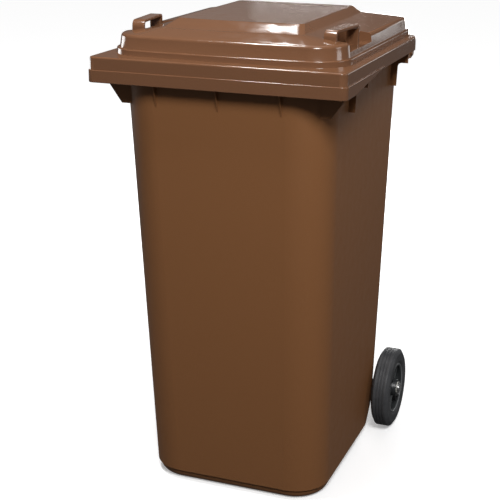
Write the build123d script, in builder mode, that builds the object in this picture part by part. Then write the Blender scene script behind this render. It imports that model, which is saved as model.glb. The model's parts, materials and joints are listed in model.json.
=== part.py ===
"""Two-wheeled refuse bin, 240 litre class.

Millimetres. +Z is up, +X is the bin's right side, and the front, where the lid opens, faces -Y.
The origin is on the ground, at the centre of the bin's width and overall depth.
"""
from build123d import *
import os

# ---------------------------------------------------------------- driving dimensions
OVERALL_WIDTH = 580.0          # across the lid's apron
OVERALL_DEPTH = 710.0          # apron to the back of the handle bar
HALF_WIDTH = OVERALL_WIDTH / 2
HALF_DEPTH = OVERALL_DEPTH / 2

# tub: a tapered box; each pair is the value at the ground and at the reference height
TUB_REF_HEIGHT = 930.0
TUB_HALF_WIDTH = (218.0, 238.0)
TUB_FRONT = (-247.0, -322.0)
TUB_REAR = (236.0, 274.0)
TUB_FRONT_RADIUS = (85.0, 88.0)
TUB_REAR_RADIUS = (44.0, 46.0)
TUB_WALL = 4.0
FLOOR_THICKNESS = 6.0
FOOT_HEIGHT = 26.0
FOOT_INSET = 4.0
FOOT_RADIUS = 22.0
# the tub's lower rear corner curves in ahead of the axle: (y, z) from the rear wall to the ground
UNDERCUT = ((247.0, 250.0), (227.0, 135.0), (172.0, 45.0), (118.0, 0.0))
UNDERCUT_TANGENTS = ((-0.04, -1.0), (-1.0, -0.6))

# rim round the tub's mouth, inside the lid's skirt
RIM_TOP = 1027.0
RIM_THICKNESS = 5.0
RIM_HALF_WIDTH = 281.0
RIM_FRONT = -346.0
RIM_REAR = 284.0
RIM_LIP_BOTTOM = 1002.0
RIM_LIP_THICKNESS = 4.0
RIM_REAR_SOLID = 8.0
COMB_BOTTOM = 984.0            # the rim's lip is deeper along the front
COMB_REACH = 62.0              # how far the deeper lip runs back round the corners
REAR_CHAMFER = (42.0, 56.0)    # across and along, at the rear corners of rim and lid
FRONT_CORNER = 14.0
RIB_THICKNESS = 3.0
RIB_BOTTOM = 929.0
RIB_RISE = 8.0                 # the front ribs start this far above the comb's lower edge
RIB_ROOT = 8.0                 # depth of their root, through the wall
FRONT_RIBS = (-142.0, 0.0, 142.0)
EMBED = 2.0                    # how far a rib or arm runs into the wall that it joins
RIB_TOP = RIM_TOP - 3.0
SIDE_GUSSETS = (-155.0, 196.0)
SIDE_GUSSET_ROOT = 230.0
SIDE_GUSSET_STEM = ((252.0, 915.0), (254.0, 961.0))    # outer edge, x and z, from the bottom up
SIDE_GUSSET_BEND = 10.0
GUSSET_EDGE = RIM_HALF_WIDTH - EMBED
CORNER_GUSSET_Y = -290.0
CORNER_GUSSET_ROOT = 212.0
CORNER_GUSSET_EDGE = ((239.0, 925.0), (268.0, 965.0), (GUSSET_EDGE, 986.0))    # x and z

# lid
LID_WALL = 3.5
FLANGE_TOP = 1032.0
SKIRT_BOTTOM = 999.0
SKIRT_HALF_WIDTH = 287.5
SKIRT_FRONT = -352.5
SKIRT_REAR = 291.0
APRON_PROUD = HALF_WIDTH - SKIRT_HALF_WIDTH
APRON_BOTTOM = 977.0
APRON_TOP = 1004.0
APRON_SLOPE = (-300.0, -57.0)  # the apron's lower edge rises to its top between these
FLANGE_EDGE = 4.0
APRON_EDGE = 1.5
PLINTH_TOP = 1045.0
PLINTH_EDGE = 3.0
DOME_EDGE = 1074.0
DOME_EDGE_RADIUS = 8.0
CROWN_TOP = 1088.0
PANEL_TOP = 1104.0
PANEL_EDGE_RADIUS = 5.0
PANEL_FOOT_RADIUS = 2.0
DOME_BOW = 9.0                 # the dome's front bulges forward in the middle
# plan of the dome at each level: half-width, front, rear, front corner radius, rear corner radius
PLINTH = (266.0, -319.0, 285.0, 78.0, 44.0)
DOME_BASE = (262.0, -315.0, 281.0, 74.0, 40.0)
DOME_SHOULDER = (256.5, -311.0, 272.0, 74.0, 40.0)
CROWN = (164.0, -257.0, 200.0, 14.0, 14.0)
PANEL_BASE = (162.0, -256.0, 199.0, 14.0, 14.0)
PANEL_FACE = (146.0, -208.0, 177.0, 12.0, 12.0)

# loop grips on the dome's front corners, over finger recesses
GRIP_FRONT = (219.0, -241.0)   # centre of the front leg, x and y
GRIP_REAR = (232.0, -124.0)
GRIP_WIDTH = 28.0
GRIP_TOP = 1100.0
GRIP_ROOT = 1075.0              # the front leg starts here, within the dome's wall
GRIP_STRAP = 6.0
GRIP_LEG = 8.0
GRIP_BULL_NOSE = 15.0
GRIP_EDGE = 1.5
RECESS_FLOOR = 1056.0
RECESS_INNER = 203.0
RECESS_FRONT = -232.0
RECESS_REAR = -66.0
RECESS_REACH = 80.0
RECESS_HEIGHT = 60.0

# rear hinge and handle
HINGE_Y = 339.0
HINGE_Z = 978.0
HANDLE_RADIUS = HALF_DEPTH - HINGE_Y
HANDLE_BORE = 11.0
PIN_RADIUS = 7.0
PIN_CLEARANCE = 0.08
PIN_HEAD_RADIUS = 11.0
PIN_HEAD = 4.0
CHEEK_WIDTH = 8.0
CHEEK_OUTER = 252.0            # outer face of the outer cheek
CHEEK_DROP = 40.0              # depth of the inner cheeks' roots below the hinge axis
OUTER_CHEEK_DROP = 9.0
OUTER_CHEEK_SHELF = 66.0       # length of the outer cheek's rise to the rim
ARM_WIDTH = 16.0
ARM_GAP = 1.0
ARM_RADIUS = 15.0
ARM_BACK = (10.0, 11.0)        # the arm's upper edge meets its eye here, from the axis, y and z
ARM_SHOULDER = 12.0            # length of the arm's level top behind the skirt
INNER_CHEEK = CHEEK_OUTER - CHEEK_WIDTH - ARM_WIDTH - 2 * ARM_GAP
MIDDLE_CHEEK = 66.0            # outer face of the middle cheek
PIN_TAIL = 3.0                 # how far the pin stands out of the inner cheek
PIN_CHAMFER = 1.0
PIN_HEAD_EDGE = 1.5

# wheels and axle
WHEEL_RADIUS = 103.0
WHEEL_Y = 245.0
WHEEL_CENTRE_X = 253.7
TYRE_WIDTH = 46.0
TREAD_WIDTH = 32.0
TYRE_SHOULDER = 92.0
RIM_SEAT = 66.0
RIM_INNER = 58.0
RIM_WIDTH = 38.0
WEB_THICKNESS = 5.0
HUB_RADIUS = 22.0
SPOKES = 6
AXLE_RADIUS = 10.0
AXLE_CLEARANCE = 0.06
BUSH_RADIUS = 13.0
BUSH_FLANGE = 16.0
BUSH_FLANGE_WIDTH = 2.0
SUPPORT_OUTER = 205.0          # outer face of the outer axle support
SUPPORT_WIDTH = 8.0
SUPPORT_RADIUS = 19.0
SUPPORTS = (201.0, 122.0, 43.0)
SUPPORT_ROOT = ((205.0, 165.0), (180.0, 60.0))    # where the supports meet the tub, y and z
SLEEVE_RADIUS = 14.0
SLEEVE_EDGE = 1.0
WASHER_RADIUS = 17.0
WASHER_THICKNESS = 1.5
PLAY = 0.3
# across the wheel, along the axle from the tyre's middle, outwards positive
HUB_INNER = -22.0
HUB_OUTER = 24.0
WEB_INNER = 2.0
SPOKE_INNER = -14.0
SPOKE_OUTER = 15.0
SPOKE_THICKNESS = 4.0
RIM_EDGE = 2.0
TREAD_GROOVES = (-8.0, 0.0, 8.0)
GROOVE_WIDTH = 2.4
GROOVE_DEPTH = 2.0
TREAD_EDGE = 4.0
BEAD_CHAMFER = (3.0, 6.0)      # the tyre's corner at its seat, across and up
BUSH_EDGE = 0.5
CAP_BRIM = 5.0                 # width of the push cap's brim beyond the axle
CAP_SHEET = 1.2
CAP_WALL = 1.5
CAP_DEPTH = 6.0
CAP_DOME = 2.0

SIDES = {"left": -1, "right": 1}

os.makedirs("parts", exist_ok=True)


def save(piece, name):
    """Label a finished piece and write its STEP file."""
    piece.label = name
    export_step(piece, f"parts/{name}.step")


def across(x, width):
    """Plane whose sketch has y to the right and z up, for a plate of this width centred on x."""
    return Plane.YZ.offset(x - width / 2)


def between(pair, z):
    """Value at height z of a dimension given at the ground and at the reference height."""
    return pair[0] + (pair[1] - pair[0]) * z / TUB_REF_HEIGHT


# ---------------------------------------------------------------- container
def tub_outline(z, inset=0.0):
    """Rounded rectangle of the tub at height z."""
    half_width = between(TUB_HALF_WIDTH, z) - inset
    front = between(TUB_FRONT, z) + inset
    rear = between(TUB_REAR, z) - inset
    with Locations((0, (front + rear) / 2)):
        Rectangle(2 * half_width, rear - front)
    fillet(vertices().group_by(Axis.Y)[0], between(TUB_FRONT_RADIUS, z) - inset)
    fillet(vertices().group_by(Axis.Y)[-1], between(TUB_REAR_RADIUS, z) - inset)


def mouth_outline(half_width, front, rear):
    """Plan of the rim and of the lid's skirt: small front corners, chamfered rear corners."""
    across_chamfer, along_chamfer = REAR_CHAMFER
    Polygon(
        (-half_width, front),
        (half_width, front),
        (half_width, rear - along_chamfer),
        (half_width - across_chamfer, rear),
        (across_chamfer - half_width, rear),
        (-half_width, rear - along_chamfer),
        align=None,
    )
    fillet(vertices().group_by(Axis.Y)[0], FRONT_CORNER)
    fillet(vertices().filter_by_position(Axis.Y, rear - along_chamfer - 1, rear + 1), 2 * FRONT_CORNER)


def undercut(shift=0.0):
    """What is cut from the tub's lower rear corner, moved inwards by shift for the cavity."""
    points = [(y - shift, z + shift) for y, z in UNDERCUT]
    far = HALF_DEPTH
    with BuildPart() as cut:
        with BuildSketch(across(0, OVERALL_WIDTH)):
            with BuildLine():
                curve = Spline(*points, tangents=UNDERCUT_TANGENTS)
                Polyline(curve @ 1, (points[-1][0], -far), (far, -far), (far, points[0][1]), curve @ 0)
            make_face()
        extrude(amount=OVERALL_WIDTH)
    return cut.part


def cavity():
    """The space inside the tub, open at the top."""
    with BuildPart() as space:
        for z in (FOOT_HEIGHT, RIM_TOP + 1):
            with BuildSketch(Plane.XY.offset(z)):
                tub_outline(z, TUB_WALL)
        loft(ruled=True)
        with BuildSketch(Plane.XY.offset(FLOOR_THICKNESS)):
            tub_outline(0, TUB_WALL + FOOT_INSET)
        extrude(amount=FOOT_HEIGHT - FLOOR_THICKNESS)
        fillet(edges().group_by(Axis.Z)[0], FOOT_RADIUS - TUB_WALL)
        add(undercut(TUB_WALL), mode=Mode.SUBTRACT)
    return space.part


def rim():
    """Flange round the mouth with its turned-down lip and the deeper comb along the front."""
    with BuildPart() as ring:
        with BuildSketch(Plane.XY.offset(RIM_LIP_BOTTOM)):
            mouth_outline(RIM_HALF_WIDTH, RIM_FRONT, RIM_REAR)
        extrude(amount=RIM_TOP - RIM_LIP_BOTTOM)
        with BuildSketch(Plane.XY.offset(COMB_BOTTOM)):
            mouth_outline(RIM_HALF_WIDTH, RIM_FRONT, RIM_REAR)
            with Locations((0, RIM_FRONT + COMB_REACH)):
                Rectangle(
                    2 * OVERALL_WIDTH,
                    OVERALL_DEPTH,
                    align=(Align.CENTER, Align.MIN),
                    mode=Mode.SUBTRACT,
                )
        extrude(amount=RIM_LIP_BOTTOM - COMB_BOTTOM)
        with BuildSketch(Plane.XY.offset(COMB_BOTTOM)):
            mouth_outline(
                RIM_HALF_WIDTH - RIM_LIP_THICKNESS,
                RIM_FRONT + RIM_LIP_THICKNESS,
                RIM_REAR - RIM_REAR_SOLID,
            )
        extrude(amount=RIM_TOP - RIM_THICKNESS - COMB_BOTTOM, mode=Mode.SUBTRACT)
    return ring.part


with BuildPart() as container:
    for height in (FOOT_HEIGHT, RIM_TOP):
        with BuildSketch(Plane.XY.offset(height)):
            tub_outline(height)
    loft(ruled=True)
    with BuildSketch(Plane.XY):
        tub_outline(0, FOOT_INSET)
    extrude(amount=FOOT_HEIGHT)
    fillet(edges().group_by(Axis.Z)[0], FOOT_RADIUS)
    add(undercut(), mode=Mode.SUBTRACT)
    add(rim())

    # thin ribs from the comb down to the front wall
    for x in FRONT_RIBS:
        with BuildSketch(across(x, RIB_THICKNESS)):
            Polygon(
                (RIM_FRONT + EMBED, RIB_TOP),
                (RIM_FRONT + EMBED, COMB_BOTTOM + RIB_RISE),
                (between(TUB_FRONT, RIB_BOTTOM) - 1, RIB_BOTTOM),
                (between(TUB_FRONT, RIB_BOTTOM) + RIB_ROOT, RIB_BOTTOM),
                (between(TUB_FRONT, RIB_BOTTOM) + RIB_ROOT, RIB_TOP),
                align=None,
            )
        extrude(amount=RIB_THICKNESS)

    # gussets that carry the overhanging rim at the sides and the front corners
    for side in SIDES.values():
        for y in SIDE_GUSSETS:
            with BuildSketch(Plane.XZ.offset(-y - RIB_THICKNESS / 2)):
                (foot, bottom), (stem, bend) = SIDE_GUSSET_STEM
                shelf = bend + SIDE_GUSSET_BEND
                with BuildLine():
                    lower = Polyline(
                        (side * SIDE_GUSSET_ROOT, bottom),
                        (side * foot, bottom),
                        (side * stem, bend),
                    )
                    arc = RadiusArc(
                        lower @ 1,
                        (side * (stem + SIDE_GUSSET_BEND), shelf),
                        side * SIDE_GUSSET_BEND,
                    )
                    Polyline(
                        arc @ 1,
                        (side * GUSSET_EDGE, shelf),
                        (side * GUSSET_EDGE, RIB_TOP),
                        (side * SIDE_GUSSET_ROOT, RIB_TOP),
                        lower @ 0,
                    )
                make_face()
            extrude(amount=RIB_THICKNESS)
        with BuildSketch(Plane.XZ.offset(-CORNER_GUSSET_Y - RIB_THICKNESS / 2)):
            Polygon(
                (side * CORNER_GUSSET_ROOT, CORNER_GUSSET_EDGE[0][1]),
                *((side * x, z) for x, z in CORNER_GUSSET_EDGE),
                (side * GUSSET_EDGE, RIB_TOP),
                (side * CORNER_GUSSET_ROOT, RIB_TOP),
                align=None,
            )
        extrude(amount=RIB_THICKNESS)

    # cheeks behind the tub, the hinge eyes in them, and the handle bar between them
    for side in SIDES.values():
        for outer_face in (CHEEK_OUTER, INNER_CHEEK, MIDDLE_CHEEK):
            with BuildSketch(across(side * (outer_face - CHEEK_WIDTH / 2), CHEEK_WIDTH)):
                outermost = outer_face == CHEEK_OUTER
                root = SIDE_GUSSETS[1] if outermost else between(TUB_REAR, HINGE_Z) - EMBED
                drop = OUTER_CHEEK_DROP if outermost else CHEEK_DROP
                with Locations((HINGE_Y, HINGE_Z)):
                    Circle(HANDLE_RADIUS)
                Polygon(
                    (HINGE_Y, HINGE_Z + HANDLE_RADIUS),
                    (root, HINGE_Z + HANDLE_RADIUS),
                    (root, HINGE_Z - drop),
                    (HINGE_Y, HINGE_Z - HANDLE_RADIUS),
                    align=None,
                )
                if outermost:
                    rise = RIM_LIP_BOTTOM + EMBED - HINGE_Z
                    with Locations((root, HINGE_Z)):
                        Rectangle(OUTER_CHEEK_SHELF, rise, align=(Align.MIN, Align.MIN))
            extrude(amount=CHEEK_WIDTH)
    bar_end = INNER_CHEEK - CHEEK_WIDTH
    with BuildSketch(across(0, 2 * bar_end)):
        with Locations((HINGE_Y, HINGE_Z)):
            Circle(HANDLE_RADIUS)
            Circle(HANDLE_BORE, mode=Mode.SUBTRACT)
    extrude(amount=2 * bar_end)
    with BuildSketch(across(0, 2 * CHEEK_OUTER)):
        with Locations((HINGE_Y, HINGE_Z)):
            Circle(PIN_RADIUS)
    extrude(amount=2 * CHEEK_OUTER, mode=Mode.SUBTRACT)

    # axle supports under the rear corner
    for side in SIDES.values():
        for x in SUPPORTS:
            with BuildSketch(across(side * x, SUPPORT_WIDTH)):
                with Locations((WHEEL_Y, WHEEL_RADIUS)):
                    Circle(SUPPORT_RADIUS)
                Polygon(
                    (WHEEL_Y, WHEEL_RADIUS + SUPPORT_RADIUS),
                    *SUPPORT_ROOT,
                    (WHEEL_Y, WHEEL_RADIUS - SUPPORT_RADIUS),
                    align=None,
                )
            extrude(amount=SUPPORT_WIDTH)
    with BuildSketch(across(0, OVERALL_WIDTH)):
        with Locations((WHEEL_Y, WHEEL_RADIUS)):
            Circle(AXLE_RADIUS + AXLE_CLEARANCE)
    extrude(amount=OVERALL_WIDTH, mode=Mode.SUBTRACT)
    add(cavity(), mode=Mode.SUBTRACT)
save(container.part, "container")


# ---------------------------------------------------------------- lid
def dome_outline(level, inset=0.0):
    """Plan of the dome at one level: the front bulges forward, and the corners are rounded."""
    half_width, front, rear, front_radius, rear_radius = level
    half_width -= inset
    corner = front + DOME_BOW + inset
    with BuildLine() as outline:
        nose = ThreePointArc((-half_width, corner), (0, front + inset), (half_width, corner))
        Polyline(nose @ 1, (half_width, rear - inset), (-half_width, rear - inset), nose @ 0)
    make_face(outline.edges())
    fillet(vertices().group_by(Axis.Y)[-1], rear_radius - inset)
    fillet(vertices().filter_by_position(Axis.Y, corner - 1, corner + 1), front_radius - inset)


def dome(inset=0.0):
    """Dome and raised panel as one solid with sharp edges; the inset one is the hollow beneath."""
    start = FLANGE_TOP - LID_WALL - 1
    stages = (
        ((start, DOME_BASE), (DOME_EDGE, DOME_SHOULDER)),
        ((DOME_EDGE, DOME_SHOULDER), (CROWN_TOP, CROWN)),
        ((CROWN_TOP - 0.5, PANEL_BASE), (PANEL_TOP, PANEL_FACE)),
    )
    with BuildPart() as body:
        for stage in stages:
            for z, level in stage:
                with BuildSketch(Plane.XY.offset(z if z == start else z - inset)):
                    dome_outline(level, inset)
            loft(ruled=True)
    return body.part


def edges_at(z, reach=0.2):
    """Edges of the part being built whose middle is at height z."""
    return edges().filter_by_position(Axis.Z, z - reach, z + reach)


def soft_dome():
    """The dome's outside, with its edges rounded."""
    with BuildPart() as body:
        add(dome())
        fillet(edges_at(DOME_EDGE), DOME_EDGE_RADIUS)
        fillet(edges_at(PANEL_TOP), PANEL_EDGE_RADIUS)
        fillet(edges_at(CROWN_TOP, 1), PANEL_FOOT_RADIUS)
    return body.part


def apron():
    """Deeper band along the front that rises and runs out along the sides."""
    with BuildPart() as band:
        with BuildSketch(Plane.XY.offset(APRON_BOTTOM)):
            mouth_outline(HALF_WIDTH, SKIRT_FRONT - APRON_PROUD, SKIRT_REAR)
        extrude(amount=APRON_TOP - APRON_BOTTOM)
        with BuildSketch(across(0, 2 * OVERALL_WIDTH)):
            start, end = APRON_SLOPE
            Polygon(
                (start, APRON_BOTTOM),
                (end, APRON_TOP),
                (end, FLANGE_TOP),
                (OVERALL_DEPTH, FLANGE_TOP),
                (OVERALL_DEPTH, APRON_BOTTOM - 1),
                (start, APRON_BOTTOM - 1),
                align=None,
            )
        extrude(amount=2 * OVERALL_WIDTH, mode=Mode.SUBTRACT)
        lower = edges_at(APRON_BOTTOM).filter_by_position(Axis.Y, -HALF_DEPTH, start - 1)
        upper = edges_at(APRON_TOP).filter_by_position(Axis.Y, -HALF_DEPTH, end - 1)
        fillet(lower + upper, APRON_EDGE)
    return band.part


def finger_recess(grow=0.0):
    """Pockets under both grips, open to the dome's sides."""
    with BuildPart() as pockets:
        for side in SIDES.values():
            with BuildSketch(Plane.XY.offset(RECESS_FLOOR - grow)):
                with Locations((side * (RECESS_INNER - grow), (RECESS_FRONT + RECESS_REAR) / 2)):
                    Rectangle(
                        RECESS_REACH,
                        RECESS_REAR - RECESS_FRONT + 2 * grow,
                        align=(Align.MIN if side > 0 else Align.MAX, Align.CENTER),
                    )
            extrude(amount=RECESS_HEIGHT)
    return pockets.part


def grip(side):
    """Loop of flat strap along the dome's edge: the rear leg stands in the finger recess."""
    front = Vector(side * GRIP_FRONT[0], GRIP_FRONT[1], 0)
    along = Vector(side * GRIP_REAR[0], GRIP_REAR[1], 0) - front
    length = along.length
    half_leg = GRIP_LEG / 2
    strap_underside = GRIP_TOP - GRIP_STRAP
    foot_depth = LID_WALL - 1
    across_strap = along.cross(Vector(0, 0, 1)).normalized()
    with BuildPart() as loop:
        with BuildSketch(Plane(origin=front, x_dir=along, z_dir=across_strap)):
            Polygon(
                (-half_leg, GRIP_ROOT),
                (half_leg, GRIP_ROOT),
                (half_leg, strap_underside),
                (length - half_leg, strap_underside),
                (length - half_leg, RECESS_FLOOR - foot_depth),
                (length + half_leg, RECESS_FLOOR - foot_depth),
                (length + half_leg, GRIP_TOP),
                (-half_leg, GRIP_TOP),
                align=None,
            )
            fillet(vertices().group_by(Axis.Y)[-1].sort_by(Axis.X)[0], GRIP_BULL_NOSE)
            fillet(vertices().group_by(Axis.Y)[-1].sort_by(Axis.X)[-1], GRIP_STRAP)
            level = vertices().filter_by_position(Axis.Y, strap_underside - 1, strap_underside + 1)
            fillet(level.sort_by(Axis.X)[:2], GRIP_STRAP)
        extrude(amount=GRIP_WIDTH / 2, both=True)
        flanks = loop.faces().filter_by(lambda face: abs(face.normal_at().dot(across_strap)) > 0.99)
        fillet(flanks.edges(), GRIP_EDGE)
    return loop.part


def hinge_arm(side):
    """Arm from the lid's rear skirt to the eye on the hinge pin."""
    centre = CHEEK_OUTER - CHEEK_WIDTH - ARM_GAP - ARM_WIDTH / 2
    with BuildPart() as arm:
        with BuildSketch(across(side * centre, ARM_WIDTH)):
            with Locations((HINGE_Y, HINGE_Z)):
                Circle(ARM_RADIUS)
            Polygon(
                (SKIRT_REAR - EMBED, SKIRT_BOTTOM + EMBED),
                (HINGE_Y - ARM_RADIUS, HINGE_Z),
                (HINGE_Y, HINGE_Z),
                (HINGE_Y + ARM_BACK[0], HINGE_Z + ARM_BACK[1]),
                (SKIRT_REAR + ARM_SHOULDER, FLANGE_TOP - FLANGE_EDGE - EMBED),
                (SKIRT_REAR - EMBED, FLANGE_TOP - FLANGE_EDGE),
                align=None,
            )
            with Locations((HINGE_Y, HINGE_Z)):
                Circle(PIN_RADIUS + PIN_CLEARANCE, mode=Mode.SUBTRACT)
        extrude(amount=ARM_WIDTH)
    return arm.part


with BuildPart() as lid:
    with BuildSketch(Plane.XY.offset(SKIRT_BOTTOM)):
        mouth_outline(SKIRT_HALF_WIDTH, SKIRT_FRONT, SKIRT_REAR)
    extrude(amount=FLANGE_TOP - SKIRT_BOTTOM)
    fillet(faces().sort_by(Axis.Z)[-1].edges(), FLANGE_EDGE)
    add(apron())
    with BuildSketch(Plane.XY.offset(FLANGE_TOP)):
        dome_outline(PLINTH)
    extrude(amount=PLINTH_TOP - FLANGE_TOP)
    fillet(edges().group_by(Axis.Z)[-1], PLINTH_EDGE)
    add(soft_dome())
    add(finger_recess(), mode=Mode.SUBTRACT)
    with BuildSketch(Plane.XY.offset(APRON_BOTTOM - 1)):
        mouth_outline(
            SKIRT_HALF_WIDTH - LID_WALL,
            SKIRT_FRONT + LID_WALL,
            SKIRT_REAR - LID_WALL,
        )
    extrude(amount=FLANGE_TOP - LID_WALL - APRON_BOTTOM + 1, mode=Mode.SUBTRACT)
    add(dome(LID_WALL) - finger_recess(LID_WALL), mode=Mode.SUBTRACT)
    for side in SIDES.values():
        add(grip(side))
        add(hinge_arm(side))
save(lid.part, "lid")


# ---------------------------------------------------------------- hinge pins
def hinge_pin(side):
    """Headed pin through the outer cheek, the lid's arm and the inner cheek."""
    length = 2 * CHEEK_WIDTH + ARM_WIDTH + 2 * ARM_GAP + PIN_TAIL
    head_face = Plane(origin=(side * CHEEK_OUTER, HINGE_Y, HINGE_Z), z_dir=(side, 0, 0))
    with BuildPart() as pin:
        with BuildSketch(head_face):
            Circle(PIN_RADIUS)
        extrude(amount=-length)
        chamfer(edges().sort_by(Axis.X)[0 if side > 0 else -1], PIN_CHAMFER)
        with BuildSketch(head_face):
            Circle(PIN_HEAD_RADIUS)
        extrude(amount=PIN_HEAD)
        fillet(edges().sort_by(Axis.X)[-1 if side > 0 else 0], PIN_HEAD_EDGE)
    return pin.part


# ---------------------------------------------------------------- wheels
AXLE_LINE = Axis((0, WHEEL_Y, WHEEL_RADIUS), (1, 0, 0))


def wheel_plane(side, x=WHEEL_CENTRE_X):
    """Plane on the axle: its x runs outwards and its y is the radius."""
    return Plane(origin=(side * x, WHEEL_Y, WHEEL_RADIUS), x_dir=(side, 0, 0), z_dir=(0, 0, 1))


def ring(side, start, end, inner, outer, edge=0.0):
    """Plain ring on the axle from start to end across the wheel, with its outer corners rounded."""
    with BuildPart() as piece:
        with BuildSketch(wheel_plane(side)):
            with Locations(((start + end) / 2, (inner + outer) / 2)):
                Rectangle(end - start, outer - inner)
            if edge:
                fillet(vertices().group_by(Axis.Y)[-1], edge)
        revolve(axis=AXLE_LINE)
    return piece.part


def tyre(side):
    """Solid rubber tyre with a flat grooved tread and rounded shoulders."""
    half = TYRE_WIDTH / 2
    tread = TREAD_WIDTH / 2
    step, rise = BEAD_CHAMFER
    with BuildPart() as piece:
        with BuildSketch(wheel_plane(side)):
            Polygon(
                (-half + step, RIM_SEAT),
                (half - step, RIM_SEAT),
                (half, RIM_SEAT + rise),
                (half, TYRE_SHOULDER),
                (tread, WHEEL_RADIUS),
                (-tread, WHEEL_RADIUS),
                (-half, TYRE_SHOULDER),
                (-half, RIM_SEAT + rise),
                align=None,
            )
            tread_corners = vertices().filter_by_position(Axis.Y, TYRE_SHOULDER - 1, WHEEL_RADIUS + 1)
            fillet(tread_corners, TREAD_EDGE)
            with Locations([(x, WHEEL_RADIUS) for x in TREAD_GROOVES]):
                Rectangle(GROOVE_WIDTH, 2 * GROOVE_DEPTH, mode=Mode.SUBTRACT)
        revolve(axis=AXLE_LINE)
    return piece.part


def wheel_rim(side):
    """Plastic wheel centre: seat ring, recessed disc, spokes and hub."""
    ring_half = RIM_WIDTH / 2
    with BuildPart() as piece:
        with BuildSketch(wheel_plane(side)):
            with Locations((0, (RIM_INNER + RIM_SEAT) / 2)):
                Rectangle(RIM_WIDTH, RIM_SEAT - RIM_INNER)
            with Locations(((HUB_INNER + HUB_OUTER) / 2, (BUSH_RADIUS + HUB_RADIUS) / 2)):
                Rectangle(HUB_OUTER - HUB_INNER, HUB_RADIUS - BUSH_RADIUS)
            with Locations((WEB_INNER + WEB_THICKNESS / 2, (HUB_RADIUS + RIM_INNER) / 2)):
                Rectangle(WEB_THICKNESS, RIM_INNER - HUB_RADIUS + 2)
            fillet(vertices().filter_by_position(Axis.X, ring_half - 1, ring_half + 1), RIM_EDGE)
        revolve(axis=AXLE_LINE)
        for step in range(SPOKES):
            with BuildSketch(wheel_plane(side).rotated((step * 360 / SPOKES, 0, 0))):
                with Locations(((SPOKE_INNER + SPOKE_OUTER) / 2, (HUB_RADIUS + RIM_INNER) / 2)):
                    Rectangle(SPOKE_OUTER - SPOKE_INNER, RIM_INNER - HUB_RADIUS + 2)
            extrude(amount=SPOKE_THICKNESS / 2, both=True)
    return piece.part


def flanged_bush(side, inwards):
    """Half-length bush pressed into one end of the hub, its flange against the hub's face."""
    face = HUB_INNER if inwards else HUB_OUTER
    way = -1 if inwards else 1
    middle = (HUB_INNER + HUB_OUTER) / 2 + way
    tube = sorted((middle, face))
    flange = sorted((face, face + way * BUSH_FLANGE_WIDTH))
    bore = AXLE_RADIUS + AXLE_CLEARANCE
    return ring(side, *tube, bore, BUSH_RADIUS) + ring(side, *flange, bore, BUSH_FLANGE, BUSH_EDGE)


def push_cap(side, start):
    """Domed spring-steel cap pressed over the axle's end."""
    with BuildPart() as piece:
        with BuildSketch(wheel_plane(side, 0)):
            Polygon(
                (start, AXLE_RADIUS),
                (start, AXLE_RADIUS + CAP_BRIM),
                (start + CAP_SHEET, AXLE_RADIUS + CAP_BRIM),
                (start + CAP_SHEET, AXLE_RADIUS + CAP_WALL),
                (start + CAP_DEPTH - CAP_DOME, AXLE_RADIUS + CAP_WALL),
                (start + CAP_DEPTH, AXLE_RADIUS - CAP_DOME),
                (start + CAP_DEPTH, 0),
                (start + CAP_DEPTH - 1, 0),
                (start + CAP_DEPTH - 1, AXLE_RADIUS - CAP_DOME),
                (start + CAP_DEPTH - CAP_DOME, AXLE_RADIUS),
                align=None,
            )
        revolve(axis=AXLE_LINE)
    return piece.part


hub_start = HUB_INNER - BUSH_FLANGE_WIDTH
hub_end = HUB_OUTER + BUSH_FLANGE_WIDTH
inner_washer = hub_start - PLAY - WASHER_THICKNESS
outer_washer = hub_end + PLAY
cap_start = WHEEL_CENTRE_X + outer_washer + WASHER_THICKNESS
axle_end = cap_start + CAP_DEPTH - CAP_DOME

with BuildPart() as axle:
    with BuildSketch(Plane.YZ.offset(-axle_end)):
        with Locations((WHEEL_Y, WHEEL_RADIUS)):
            Circle(AXLE_RADIUS)
    extrude(amount=2 * axle_end)
save(axle.part, "axle")

loose = AXLE_RADIUS + 2 * AXLE_CLEARANCE
sleeve_start = SUPPORT_OUTER - WHEEL_CENTRE_X
for name, side in SIDES.items():
    sleeve = ring(side, sleeve_start, inner_washer, loose, SLEEVE_RADIUS, SLEEVE_EDGE)
    save(sleeve, f"spacer_sleeve_{name}")
    for place, at in (("inner", inner_washer), ("outer", outer_washer)):
        washer = ring(side, at, at + WASHER_THICKNESS, loose, WASHER_RADIUS)
        save(washer, f"washer_{place}_{name}")
        save(flanged_bush(side, place == "inner"), f"bush_{place}_{name}")
    save(hinge_pin(side), f"hinge_pin_{name}")
    save(tyre(side), f"tyre_{name}")
    save(wheel_rim(side), f"rim_{name}")
    save(push_cap(side, cap_start), f"push_cap_{name}")
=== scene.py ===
"""Looks for the two-wheeled refuse bin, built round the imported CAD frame. Metres, CAD frame."""
import json
import math

import bpy
from mathutils import Matrix, Vector


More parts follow.
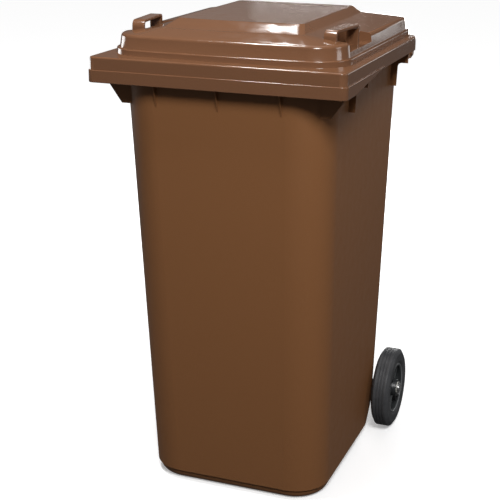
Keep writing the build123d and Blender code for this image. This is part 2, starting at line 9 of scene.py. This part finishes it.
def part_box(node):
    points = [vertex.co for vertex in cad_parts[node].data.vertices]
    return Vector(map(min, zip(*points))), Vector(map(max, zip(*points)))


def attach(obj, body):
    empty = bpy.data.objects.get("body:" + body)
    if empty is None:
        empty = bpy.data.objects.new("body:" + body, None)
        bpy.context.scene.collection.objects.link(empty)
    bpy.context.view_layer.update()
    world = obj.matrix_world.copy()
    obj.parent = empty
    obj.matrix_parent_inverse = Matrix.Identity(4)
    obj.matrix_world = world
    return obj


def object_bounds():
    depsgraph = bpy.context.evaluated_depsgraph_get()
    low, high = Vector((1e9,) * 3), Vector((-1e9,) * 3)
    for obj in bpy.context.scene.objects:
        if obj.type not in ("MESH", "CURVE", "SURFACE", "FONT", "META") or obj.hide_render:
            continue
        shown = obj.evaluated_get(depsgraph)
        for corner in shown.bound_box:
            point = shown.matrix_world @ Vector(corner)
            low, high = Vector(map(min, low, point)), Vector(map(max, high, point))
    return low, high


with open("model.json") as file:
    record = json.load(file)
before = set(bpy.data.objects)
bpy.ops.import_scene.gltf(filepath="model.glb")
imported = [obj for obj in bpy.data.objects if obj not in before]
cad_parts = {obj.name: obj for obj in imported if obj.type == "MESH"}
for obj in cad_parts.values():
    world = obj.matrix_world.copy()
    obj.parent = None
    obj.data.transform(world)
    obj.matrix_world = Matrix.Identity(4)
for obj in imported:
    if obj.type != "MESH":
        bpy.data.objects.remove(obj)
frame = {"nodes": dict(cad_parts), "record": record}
cad_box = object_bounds()

# ------------------------------------------------------------------ settings
CAMERA_PLACE = Vector((0.952, -2.6146, 1.4304))
CAMERA_RIGHT = Vector((0.9327, 0.3605, 0.0045))
CAMERA_UP = Vector((-0.1136, 0.2818, 0.9527))
SENSOR_MM = 36.0
LENS_MM = 86.33
CAMERA_SHIFT = (0.0045, -0.0133)

FLOOR_SIZE = 60.0

TUB_BROWN = (0.205, 0.086, 0.031)
TUB_BROWN_WORN = (0.220, 0.094, 0.036)
LID_BROWN = (0.138, 0.061, 0.029)
LID_BROWN_WORN = (0.150, 0.069, 0.035)
DRIFT_SCALE = 3.2               # slow change of tone, the finer speckle, ripple and grain, per metre
SPECKLE_SCALE = 420.0
POLISH_SCALE = 38.0
RIPPLE_SCALE = 9.0
GRAIN_SCALE = 260.0
RIPPLE_DEPTH = 0.003
GRAIN_DEPTH = 0.0004
WORLD_GLOW = 0.10
BACKDROP_WHITE = 1.0
# floor glow: the weaker glow under and near the object is a painted shade round it
FLOOR_GLOW = (0.30, 0.86)       # under the object, and from FLOOR_FADE metres away
FLOOR_FADE = (0.3, 1.7)

# name, place, the point it faces, size and power
LIGHTS = (
    ("key", (1.5, -2.8, 3.5), (0, -0.2, 0.8), (1.2, 1.2), 166),
    ("strip", (-0.71, -0.7, 3.5), (-0.71, -0.7, 0), (0.33, 0.9), 60),
    ("window", (-0.94, 2.1, 3.5), (0.165, -0.23, 1.1), (0.2, 0.35), 6),
    ("rear_side", (2.1, 4.4, 1.15), (0.2, 0.0, 0.95), (1.2, 0.9), 6.5),
    ("rear_top", (-1.6, 4.4, 1.7), (0, 0.1, 1.05), (1.6, 0.8), 0.4),
    ("side", (3.2, 0.4, 2.2), (0.25, 0, 0.9), (1.0, 1.0), 15),
    ("rear_fill", (-0.4, 4.2, 0.9), (0, 0.3, 0.6), (2.4, 0.8), 55),
    ("left_fill", (-3.4, 0.8, 1.0), (-0.25, 0, 0.6), (1.4, 0.8), 22),
    ("overhead", (0.0, 0.2, 3.8), (0, 0, 0.8), (2.0, 2.0), 14),
)

SOFT_EDGE = 0.0008              # rounding of the mouldings' edges
EDGE_SEGMENTS = 2
MERGE_WITHIN = 1e-6
SHARP_FROM = 0.6                # radians between faces, above which an edge is rounded
BEAD_RADIUS = 0.0632            # the wheel rim's raised bead: middle of its section from the axle
BEAD_WIDTH = 0.0044
BEAD_HEIGHT = 0.0018
BEAD_SETBACK = 0.004            # the rim's outer edge, in from the tyre's side
BEAD_STEPS = 96
SECTION_STEPS = 10


# ------------------------------------------------------------------ materials
class Nodes:
    """A material's node tree, with short calls for the nodes that every finish here uses."""

    def __init__(self, name, metallic=0.0, specular=0.5):
        self.material = bpy.data.materials.new(name)
        self.material.use_nodes = True
        self.tree = self.material.node_tree
        self.shader = self.tree.nodes["Principled BSDF"]
        self.shader.inputs["Metallic"].default_value = metallic
        self.shader.inputs["Specular IOR Level"].default_value = specular
        self.place = self.tree.nodes.new("ShaderNodeTexCoord").outputs["Object"]

    def node(self, kind, **inputs):
        made = self.tree.nodes.new(kind)
        for key, value in inputs.items():
            socket = made.inputs[key.replace("_", " ")]
            if isinstance(value, bpy.types.NodeSocket):
                self.tree.links.new(value, socket)
            else:
                socket.default_value = value
        return made

    def stretched(self, x, y, z):
        return self.node("ShaderNodeMapping", Vector=self.place, Scale=(x, y, z)).outputs["Vector"]

    def noise(self, scale, detail=2.0, roughness=0.5, vector=None):
        made = self.node(
            "ShaderNodeTexNoise", Vector=vector or self.place, Scale=scale, Detail=detail, Roughness=roughness
        )
        return made.outputs["Fac"]

    def spread(self, value, low, high, to_low=0.0, to_high=1.0):
        made = self.node("ShaderNodeMapRange", Value=value)
        for key, number in (("From Min", low), ("From Max", high), ("To Min", to_low), ("To Max", to_high)):
            made.inputs[key].default_value = number
        return made.outputs["Result"]

    def mix(self, factor, first, second):
        made = self.tree.nodes.new("ShaderNodeMix")
        made.data_type = "RGBA"
        self.tree.links.new(factor, made.inputs["Factor"])
        for socket, value in ((made.inputs["A"], first), (made.inputs["B"], second)):
            if isinstance(value, bpy.types.NodeSocket):
                self.tree.links.new(value, socket)
            else:
                socket.default_value = (*value, 1.0)
        return made.outputs["Result"]

    def colour(self, socket):
        self.tree.links.new(socket, self.shader.inputs["Base Color"])

    def roughness(self, socket):
        self.tree.links.new(socket, self.shader.inputs["Roughness"])

    def bump(self, height, strength, distance, under=None):
        made = self.node("ShaderNodeBump", Height=height, Strength=strength, Distance=distance)
        if under is not None:
            self.tree.links.new(under, made.inputs["Normal"])
        self.tree.links.new(made.outputs["Normal"], self.shader.inputs["Normal"])
        return made.outputs["Normal"]


def moulded(name, main, worn, rough, grain, gloss=0.5):
    """Injection-moulded polyethylene: soft tone drift, fine grain and a faint flow ripple."""
    m = Nodes(name, specular=gloss)
    drift = m.spread(m.noise(DRIFT_SCALE, 3.0), 0.35, 0.65)
    speckle = m.spread(m.noise(SPECKLE_SCALE, 1.0), 0.3, 0.7)
    tone = m.mix(drift, main, worn)
    m.colour(m.mix(speckle, tone, m.mix(drift, worn, main)))
    m.roughness(m.spread(m.noise(POLISH_SCALE, 4.0), 0.3, 0.7, rough - 0.03, rough + 0.06))
    ripple = m.bump(m.noise(RIPPLE_SCALE, 2.0), 0.10, RIPPLE_DEPTH)
    m.bump(m.noise(GRAIN_SCALE, 2.0), grain, GRAIN_DEPTH, ripple)
    return m.material


def steel(name, tint, rough):
    """Zinc-plated steel with drawn lines and a mottled plating."""
    m = Nodes(name, metallic=1.0)
    drawn = m.noise(60.0, 3.0, vector=m.stretched(1.0, 14.0, 14.0))
    m.colour(m.mix(m.spread(m.noise(120.0, 3.0), 0.35, 0.65), tint, tuple(c * 0.8 for c in tint)))
    m.roughness(m.spread(drawn, 0.3, 0.7, rough - 0.06, rough + 0.1))
    m.bump(drawn, 0.12, 0.0002)
    return m.material


def rubber(name):
    """Matt black tyre rubber with dust in the grain."""
    m = Nodes(name, specular=0.35)
    m.colour(m.mix(m.spread(m.noise(24.0, 4.0), 0.4, 0.75), (0.042, 0.043, 0.046), (0.072, 0.072, 0.075)))
    m.roughness(m.spread(m.noise(80.0, 3.0), 0.3, 0.7, 0.52, 0.68))
    m.bump(m.noise(600.0, 3.0), 0.25, 0.0004)
    return m.material


def black_plastic(name, main, worn, rough):
    return moulded(name, main, worn, rough, 0.2, gloss=0.45)


FINISHES = {
    "tub_plastic": moulded("tub_polyethylene", TUB_BROWN, TUB_BROWN_WORN, 0.48, 0.35, gloss=0.3),
    "lid_plastic": moulded("lid_polyethylene", LID_BROWN, LID_BROWN_WORN, 0.12, 0.02),
    "pin_plastic": moulded("pin_polyamide", TUB_BROWN, LID_BROWN, 0.42, 0.2),
    "axle_steel": steel("axle_zinc", (0.56, 0.57, 0.58), 0.34),
    "washer_steel": steel("washer_zinc", (0.66, 0.66, 0.65), 0.28),
    "sleeve_plastic": black_plastic("sleeve_polyamide", (0.010, 0.010, 0.011), (0.018, 0.018, 0.018), 0.42),
    "rim_plastic": black_plastic("rim_polypropylene", (0.016, 0.018, 0.019), (0.026, 0.028, 0.029), 0.40),
    "tyre_rubber": rubber("tyre_rubber"),
    "bush_plastic": moulded("bush_nylon", (0.62, 0.61, 0.56), (0.54, 0.53, 0.48), 0.38, 0.15),
}

for subpart in frame["record"]["subparts"]:
    shown = frame["nodes"][subpart["node"]]
    shown.data.materials.clear()
    shown.data.materials.append(FINISHES[subpart["material_slot"]])


# ------------------------------------------------------------------ moulding detail
# the container is left out: the two modifiers together put lines on its flat front
SOFTENED = ("lid", "tyre_left", "tyre_right", "rim_left", "rim_right")


def soften(node):
    """Small rounded edges on a moulding."""
    moulding = frame["nodes"][node]
    weld = moulding.modifiers.new("weld", "WELD")
    weld.merge_threshold = MERGE_WITHIN
    edge = moulding.modifiers.new("edge", "BEVEL")
    edge.width = SOFT_EDGE
    edge.segments = EDGE_SEGMENTS
    edge.limit_method = "ANGLE"
    edge.angle_limit = SHARP_FROM


def rim_bead(side, sign):
    """Raised bead round the outer edge of a wheel's rim."""
    low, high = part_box(f"tyre_{side}")
    middle = (low + high) / 2
    base = (high.x if sign > 0 else low.x) - sign * BEAD_SETBACK
    verts = []
    for step in range(BEAD_STEPS):
        turn = step * math.tau / BEAD_STEPS
        for part in range(SECTION_STEPS):
            angle = part * math.tau / SECTION_STEPS
            radius = BEAD_RADIUS + math.cos(angle) * BEAD_WIDTH / 2
            out = base + sign * math.sin(angle) * BEAD_HEIGHT
            verts.append((out, middle.y + radius * math.cos(turn), middle.z + radius * math.sin(turn)))
    faces = []
    for step in range(BEAD_STEPS):
        here = step * SECTION_STEPS
        there = (step + 1) % BEAD_STEPS * SECTION_STEPS
        for part in range(SECTION_STEPS):
            after = (part + 1) % SECTION_STEPS
            face = (here + part, here + after, there + after, there + part)
            faces.append(face if sign < 0 else face[::-1])
    mesh = bpy.data.meshes.new(f"rim_bead_{side}")
    mesh.from_pydata(verts, [], faces)
    mesh.shade_smooth()
    mesh.materials.append(BEAD_HIGHLIGHT_GREY)
    bead = bpy.data.objects.new(f"rim_bead_{side}", mesh)
    bpy.context.scene.collection.objects.link(bead)
    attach(bead, f"wheel_{side}")


# the bead's light grey colour is a painted highlight along its edge; its raised shape and gloss are real
BEAD_HIGHLIGHT_GREY = black_plastic("rim_bead_painted_highlight_grey", (0.13, 0.135, 0.14), (0.17, 0.175, 0.18), 0.30)
for moulding_node in SOFTENED:
    soften(moulding_node)
rim_bead("left", -1)
rim_bead("right", 1)


# ------------------------------------------------------------------ floor, light and camera
def floor():
    """Pale floor. Its own glow keeps it pale, and it throws no light back onto the object."""
    mesh = bpy.data.meshes.new("floor")
    half = FLOOR_SIZE / 2
    low = cad_box[0].z
    corners = [(-half, -half, low), (half, -half, low), (half, half, low), (-half, half, low)]
    mesh.from_pydata(corners, [], [(0, 1, 2, 3)])
    plane = bpy.data.objects.new("floor", mesh)
    bpy.context.scene.collection.objects.link(plane)
    plane.visible_diffuse = False
    plane.visible_glossy = False
    m = Nodes("floor_white")
    m.colour(m.mix(m.noise(0.6, 2.0), (0.86, 0.86, 0.86), (0.88, 0.88, 0.88)))
    m.shader.inputs["Roughness"].default_value = 0.9
    m.shader.inputs["Emission Color"].default_value = (1.0, 1.0, 1.0, 1.0)
    away = m.node("ShaderNodeVectorMath", Vector=m.place)
    away.operation = "LENGTH"
    # glow grows with distance from the object, so the floor near it carries a painted shade
    glow = m.spread(away.outputs["Value"], *FLOOR_FADE, *FLOOR_GLOW)
    m.tree.links.new(glow, m.shader.inputs["Emission Strength"])
    plane.data.materials.append(m.material)


def area_light(name, place, target, size, power):
    data = bpy.data.lights.new(name, "AREA")
    data.shape = "RECTANGLE"
    data.size, data.size_y = size
    data.energy = power
    lamp = bpy.data.objects.new(name, data)
    bpy.context.scene.collection.objects.link(lamp)
    lamp.location = place
    lamp.rotation_euler = (Vector(target) - Vector(place)).to_track_quat("-Z", "Y").to_euler()


def studio():
    """Dim room with softboxes; the camera sees a white backdrop beyond the floor."""
    world = bpy.data.worlds.new("studio")
    bpy.context.scene.world = world
    world.use_nodes = True
    tree = world.node_tree
    room = tree.nodes["Background"]
    room.inputs["Strength"].default_value = WORLD_GLOW
    room.inputs["Color"].default_value = (1.0, 1.0, 1.0, 1.0)
    backdrop = tree.nodes.new("ShaderNodeBackground")
    backdrop.inputs["Strength"].default_value = BACKDROP_WHITE
    backdrop.inputs["Color"].default_value = (1.0, 1.0, 1.0, 1.0)
    choose = tree.nodes.new("ShaderNodeMixShader")
    path = tree.nodes.new("ShaderNodeLightPath")
    tree.links.new(path.outputs["Is Camera Ray"], choose.inputs["Fac"])
    tree.links.new(room.outputs[0], choose.inputs[1])
    tree.links.new(backdrop.outputs[0], choose.inputs[2])
    tree.links.new(choose.outputs[0], tree.nodes["World Output"].inputs["Surface"])
    for light in LIGHTS:
        area_light(*light)


def camera():
    data = bpy.data.cameras.new("camera")
    data.sensor_width = SENSOR_MM
    data.lens = LENS_MM
    data.shift_x, data.shift_y = CAMERA_SHIFT
    seen_from = bpy.data.objects.new("camera", data)
    bpy.context.scene.collection.objects.link(seen_from)
    back = CAMERA_RIGHT.cross(CAMERA_UP)
    turn = Matrix((CAMERA_RIGHT, CAMERA_UP, back)).transposed()
    seen_from.matrix_world = Matrix.Translation(CAMERA_PLACE) @ turn.to_4x4()
    bpy.context.scene.camera = seen_from


floor()
studio()
camera()
bpy.context.scene.view_settings.view_transform = "Standard"
